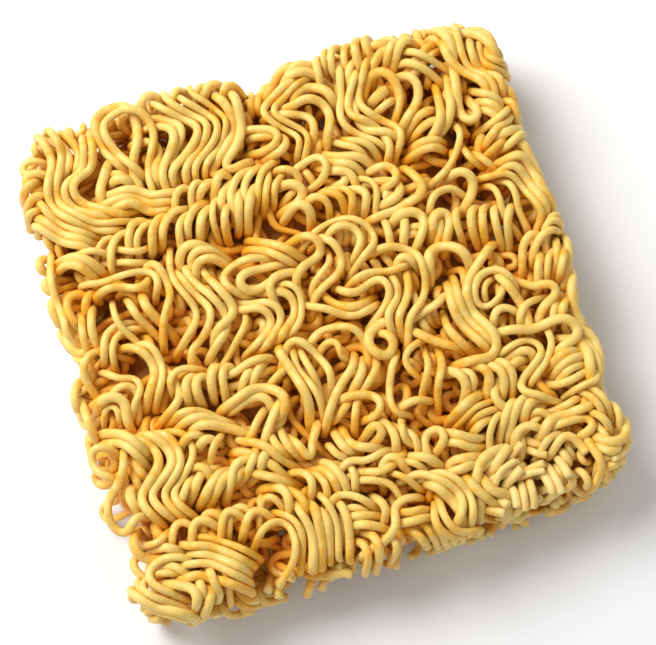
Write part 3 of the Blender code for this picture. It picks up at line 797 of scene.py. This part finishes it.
def strand_mesh(name, paths, mould):
    """One mesh of tubes, with the values that their material reads at each point."""
    total = sum(distance_along(path)[-1] + MAP_GAP + 1 for path in paths)
    rows = math.ceil(math.sqrt(total / (math.pi * THICK)))
    row_length = total / rows * 1.002
    points, quads, quad_maps, caps, cap_maps = [], [], [], [], []
    values = {"depth": [], "tone": [], "cut": []}
    base = 0
    place = 0.0
    for path in paths:
        path = with_cut_ends(path)
        count = len(path)
        own_size = 1 + THICK_SPREAD * np.clip(rng.normal(), -1.8, 1.5)
        swell = sum(share * smooth_noise(count, span) for share, span in SWELLS)
        radius = THICK / 2 * (own_size + swell)
        radius[[0, -1]] *= CUT_RADIUS
        points.append(tube_rings(path, radius).reshape(-1, 3))
        ring = base + np.arange(count - 1)[:, None] * SIDES
        turn = np.arange(SIDES)[None]
        after = (turn + 1) % SIDES
        corners = [ring + turn, ring + after, ring + SIDES + after, ring + SIDES + turn]
        quads.append(np.stack(corners, axis=-1).reshape(-1, 4))
        last = base + (count - 1) * SIDES
        caps.append([base + np.arange(SIDES)[::-1], last + np.arange(SIDES)])
        along = place + distance_along(path)
        quad_maps.append(strip_map(along, row_length, rows).reshape(-1, 2))
        cap_maps += [cap_map(along[-1], row_length, rows)] * 2
        place = along[-1] + MAP_GAP
        from_end = np.minimum(np.arange(count), np.arange(count)[::-1])
        ends = np.maximum(1 - from_end / CUT_FADE, 0)
        own_tone = np.full(count, TONE_SPREAD * np.clip(rng.normal(), -2, 2))
        # the depth under the surface, which the material turns into painted light and shade
        values["depth"].append(mould.sample(path)[0])
        values["tone"].append(own_tone)
        values["cut"].append(np.maximum(ends, BROKEN_PALENESS * brokenness(path)))
        base += count * SIDES

    points = np.concatenate(points) * MM
    quads = np.concatenate(quads)
    caps = np.concatenate(caps)
    mesh = bpy.data.meshes.new(name)
    mesh.vertices.add(len(points))
    mesh.vertices.foreach_set("co", points.ravel())
    mesh.loops.add(quads.size + caps.size)
    mesh.loops.foreach_set("vertex_index", np.concatenate([quads.ravel(), caps.ravel()]))
    cap_starts = quads.size + np.arange(len(caps)) * SIDES
    starts = np.concatenate([np.arange(len(quads)) * 4, cap_starts])
    mesh.polygons.add(len(starts))
    mesh.polygons.foreach_set("loop_start", starts)
    mesh.update(calc_edges=True)
    layer = mesh.uv_layers.new(name="OFBake")
    layer.data.foreach_set("uv", np.concatenate(quad_maps + cap_maps).ravel())
    for label, parts in values.items():
        layer = mesh.attributes.new(label, "FLOAT", "POINT")
        layer.data.foreach_set("value", np.repeat(np.concatenate(parts), SIDES))
    mesh.shade_smooth()
    return mesh


def core_mesh(name):
    """The core, with rows of ridges like the strands that lie on it."""
    shape = bmesh.new()
    bmesh.ops.create_cube(shape, size=1.0)
    bmesh.ops.subdivide_edges(shape, edges=shape.edges, cuts=CORE_CUTS, use_grid_fill=True)
    inner = CORE_HALF - CORE_ROUND
    for vert in shape.verts:
        place = np.array(vert.co) * 2 * CORE_HALF
        held = np.clip(place, -inner, inner)
        out = unit(place - held)
        across = place[1] + RIDGE_SWAY * math.sin(place[0] / RIDGE_SWAY_LENGTH)
        ridge = RIDGE_HEIGHT * math.cos(math.tau * across / RIDGE_PITCH)
        vert.co = (CORE_MIDDLE + held + out * (CORE_ROUND - CORE_SINK + ridge)) * MM
    mesh = bpy.data.meshes.new(name)
    shape.to_mesh(mesh)
    shape.free()
    mesh.shade_smooth()
    return mesh


def place_piece(name, mesh, material):
    mesh.materials.append(material)
    piece = bpy.data.objects.new(name, mesh)
    bpy.context.scene.collection.objects.link(piece)
    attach(piece, "root")
    return piece


# ---- the materials
class Nodes:
    """Short ways to add and join the nodes of a material."""

    def __init__(self, name):
        self.material = bpy.data.materials.new(name)
        self.material.use_nodes = True
        self.tree = self.material.node_tree
        self.shader = self.tree.nodes["Principled BSDF"]

    def put(self, socket, value):
        if isinstance(value, bpy.types.NodeSocket):
            self.tree.links.new(value, socket)
        else:
            socket.default_value = value

    def add(self, kind, inputs=(), **settings):
        node = self.tree.nodes.new(kind)
        for name, value in settings.items():
            setattr(node, name, value)
        for name, value in dict(inputs).items():
            self.put(node.inputs[name], value)
        return node

    def shade(self, name, value):
        self.put(self.shader.inputs[name], value)

    def attribute(self, name):
        return self.add("ShaderNodeAttribute", attribute_name=name).outputs["Fac"]

    def noise(self, where, scale, detail):
        inputs = {"Vector": where, "Scale": scale, "Detail": detail, "Roughness": 0.55}
        return self.add("ShaderNodeTexNoise", inputs).outputs["Fac"]

    def ramp(self, value, low, high, to_low=0.0, to_high=1.0):
        inputs = {
            "Value": value,
            "From Min": low,
            "From Max": high,
            "To Min": to_low,
            "To Max": to_high,
        }
        made = self.add("ShaderNodeMapRange", inputs, interpolation_type="SMOOTHSTEP")
        return made.outputs["Result"]

    def math(self, operation, first, second):
        made = self.add("ShaderNodeMath", operation=operation)
        self.put(made.inputs[0], first)
        self.put(made.inputs[1], second)
        return made.outputs[0]

    def mix(self, share, first, second):
        made = self.add("ShaderNodeMix", data_type="RGBA")
        self.put(made.inputs[0], share)
        self.put(made.inputs[6], first)
        self.put(made.inputs[7], second)
        return made.outputs[2]


# Colours
PALE = (0.93, 0.655, 0.18, 1.0)
GOLD = (0.91, 0.475, 0.033, 1.0)
# painted shade: the deep red-brown of strands far under the surface, where little light reaches
DEEP_SHADE = (0.82, 0.27, 0.018, 1.0)
TOAST = (0.50, 0.20, 0.03, 1.0)
# painted shade: the core is darker amber than the strands, as the inside of the block lies in shade
CORE_LIGHT = (0.74, 0.33, 0.035, 1.0)
CORE_DARK = (0.6, 0.22, 0.02, 1.0)
FLOOR_DARK = (0.93, 0.93, 0.93, 1.0)
FLOOR_LIGHT = (0.95, 0.95, 0.95, 1.0)
BROKEN = (0.92, 0.74, 0.32, 1.0)


def noodle_look():
    """Fried dry dough: pale gold, mottled, faintly pitted, with painted light and shade by depth: paler on
    top, then more golden, deeper and redder the further a strand lies under the surface.
    """
    nodes = Nodes("dried_noodle")
    where = nodes.add("ShaderNodeTexCoord").outputs["Object"]
    depth = nodes.attribute("depth")
    patch = nodes.noise(where, 140.0, 2.0)
    blotch = nodes.noise(where, 620.0, 3.0)
    grain = nodes.noise(where, 3200.0, 3.0)

    # painted light and shade: strands near the top come out paler, deeper ones more golden; the tone and
    # the noises add real random variation
    golden = nodes.math("ADD", nodes.attribute("tone"), nodes.ramp(depth, 0.9, 6.0, 0.2, 0.9))
    golden = nodes.math("ADD", golden, nodes.ramp(patch, 0.32, 0.68, -0.3, 0.3))
    golden = nodes.math("ADD", golden, nodes.ramp(blotch, 0.3, 0.7, -0.28, 0.28))
    golden = nodes.math("ADD", golden, nodes.ramp(grain, 0.3, 0.7, -0.15, 0.15))
    colour = nodes.mix(nodes.ramp(golden, 0.0, 1.0), PALE, GOLD)
    # painted shade: strands 3 to 11 mm under the surface turn deep red-brown
    colour = nodes.mix(nodes.ramp(depth, 3.0, 11.0), colour, DEEP_SHADE)
    spots = nodes.ramp(blotch, 0.62, 0.76, 0.0, 0.35)
    colour = nodes.mix(nodes.math("MULTIPLY", spots, nodes.ramp(patch, 0.4, 0.62)), colour, TOAST)
    colour = nodes.mix(nodes.ramp(grain, 0.66, 0.78, 0.0, 0.22), colour, TOAST)
    colour = nodes.mix(nodes.math("MULTIPLY", nodes.attribute("cut"), 0.7), colour, BROKEN)
    nodes.shade("Base Color", colour)
    nodes.shade("Roughness", nodes.ramp(blotch, 0.3, 0.7, 0.33, 0.52))

    pits = nodes.math("MULTIPLY", grain, 0.7)
    relief = nodes.math("ADD", nodes.math("MULTIPLY", blotch, 1.6), pits)
    bump = nodes.add("ShaderNodeBump", {"Height": relief, "Strength": 0.5, "Distance": 0.00026})
    nodes.shade("Normal", bump.outputs["Normal"])
    nodes.shade("Subsurface Weight", 0.32)
    nodes.shade("Subsurface Radius", (1.0, 0.45, 0.12))
    nodes.shade("Subsurface Scale", 0.0012)
    nodes.shade("Specular IOR Level", 0.5)
    return nodes.material


def core_look():
    nodes = Nodes("core")
    where = nodes.add("ShaderNodeTexCoord").outputs["Object"]
    blotch = nodes.noise(where, 420.0, 3.0)
    # painted shade: darker amber than the strands, for the shaded inside of the block; the blotches between
    # the two are random
    colour = nodes.mix(nodes.ramp(blotch, 0.3, 0.7), CORE_LIGHT, CORE_DARK)
    nodes.shade("Base Color", colour)
    nodes.shade("Roughness", nodes.ramp(blotch, 0.3, 0.7, 0.5, 0.7))
    bump = nodes.add("ShaderNodeBump", {"Height": blotch, "Strength": 0.4, "Distance": 0.0004})
    nodes.shade("Normal", bump.outputs["Normal"])
    return nodes.material


def ground_look():
    nodes = Nodes("ground")
    where = nodes.add("ShaderNodeTexCoord").outputs["Object"]
    shade = nodes.ramp(nodes.noise(where, 30.0, 2.0), 0.3, 0.7)
    nodes.shade("Base Color", nodes.mix(shade, FLOOR_DARK, FLOOR_LIGHT))
    nodes.shade("Roughness", 0.9)
    nodes.shade("Specular IOR Level", 0.1)
    return nodes.material


# ---- the studio
KEY_PLACE = (-0.25, 0.33, 0.50)
KEY_SIZE = 0.36
KEY_POWER = 4.2
KEY_TARGET = (0, 0, 0.01)
WORLD_STRENGTH = 0.46
CAMERA_TARGET = Vector((0.0021, -0.0020, 0.010))
CAMERA_AZIMUTH = math.radians(-17.2)
CAMERA_ELEVATION = math.radians(77.5)
CAMERA_DISTANCE = 0.345
CAMERA_LENS = 100


def aim(item, place, target):
    item.location = place
    item.rotation_euler = (Vector(target) - Vector(place)).to_track_quat("-Z", "Y").to_euler()
    bpy.context.scene.collection.objects.link(item)


def make_studio():
    scene = bpy.context.scene
    scene.view_settings.view_transform = "Standard"
    bpy.ops.mesh.primitive_plane_add(size=3.0, location=(0, 0, -0.0002))
    floor = bpy.context.object
    floor.name = "floor"
    floor.data.materials.append(ground_look())
    world = bpy.data.worlds.new("studio")
    world.use_nodes = True
    world.node_tree.nodes["Background"].inputs["Color"].default_value = (1, 1, 1, 1)
    world.node_tree.nodes["Background"].inputs["Strength"].default_value = WORLD_STRENGTH
    scene.world = world
    light = bpy.data.lights.new("key", "AREA")
    light.energy = KEY_POWER
    light.size = KEY_SIZE
    aim(bpy.data.objects.new("key", light), KEY_PLACE, KEY_TARGET)
    camera = bpy.data.objects.new("camera", bpy.data.cameras.new("camera"))
    camera.data.lens = CAMERA_LENS
    flat = math.cos(CAMERA_ELEVATION)
    back = Vector((
        math.sin(CAMERA_AZIMUTH) * flat,
        -math.cos(CAMERA_AZIMUTH) * flat,
        math.sin(CAMERA_ELEVATION),
    ))
    aim(camera, CAMERA_TARGET + back * CAMERA_DISTANCE, CAMERA_TARGET)
    scene.camera = camera


def make_block():
    mould = Mould(bpy.data.objects["noodle_block"])
    folded = lay_folded()
    sheaves = lay_sheaves()
    weights = [1.0] * len(folded) + [SHEAF_WEIGHT] * len(sheaves)
    packed = pack(folded + sheaves, weights, mould)
    paths = [smooth_path(path) for path in packed]
    look = noodle_look()
    lengths = [len(path) for path in paths]
    share_done = np.cumsum(lengths) / sum(lengths)
    group = np.minimum((share_done * PIECES).astype(int), PIECES - 1)
    for number in range(PIECES):
        name = "strands_%d" % (number + 1)
        own = [paths[index] for index in np.flatnonzero(group == number)]
        mesh = strand_mesh(name, own, mould)
        piece = place_piece(name, mesh, look)
        if number == 0:
            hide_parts("noodle_block")
    place_piece("core", core_mesh("core"), core_look())


make_block()
make_studio()
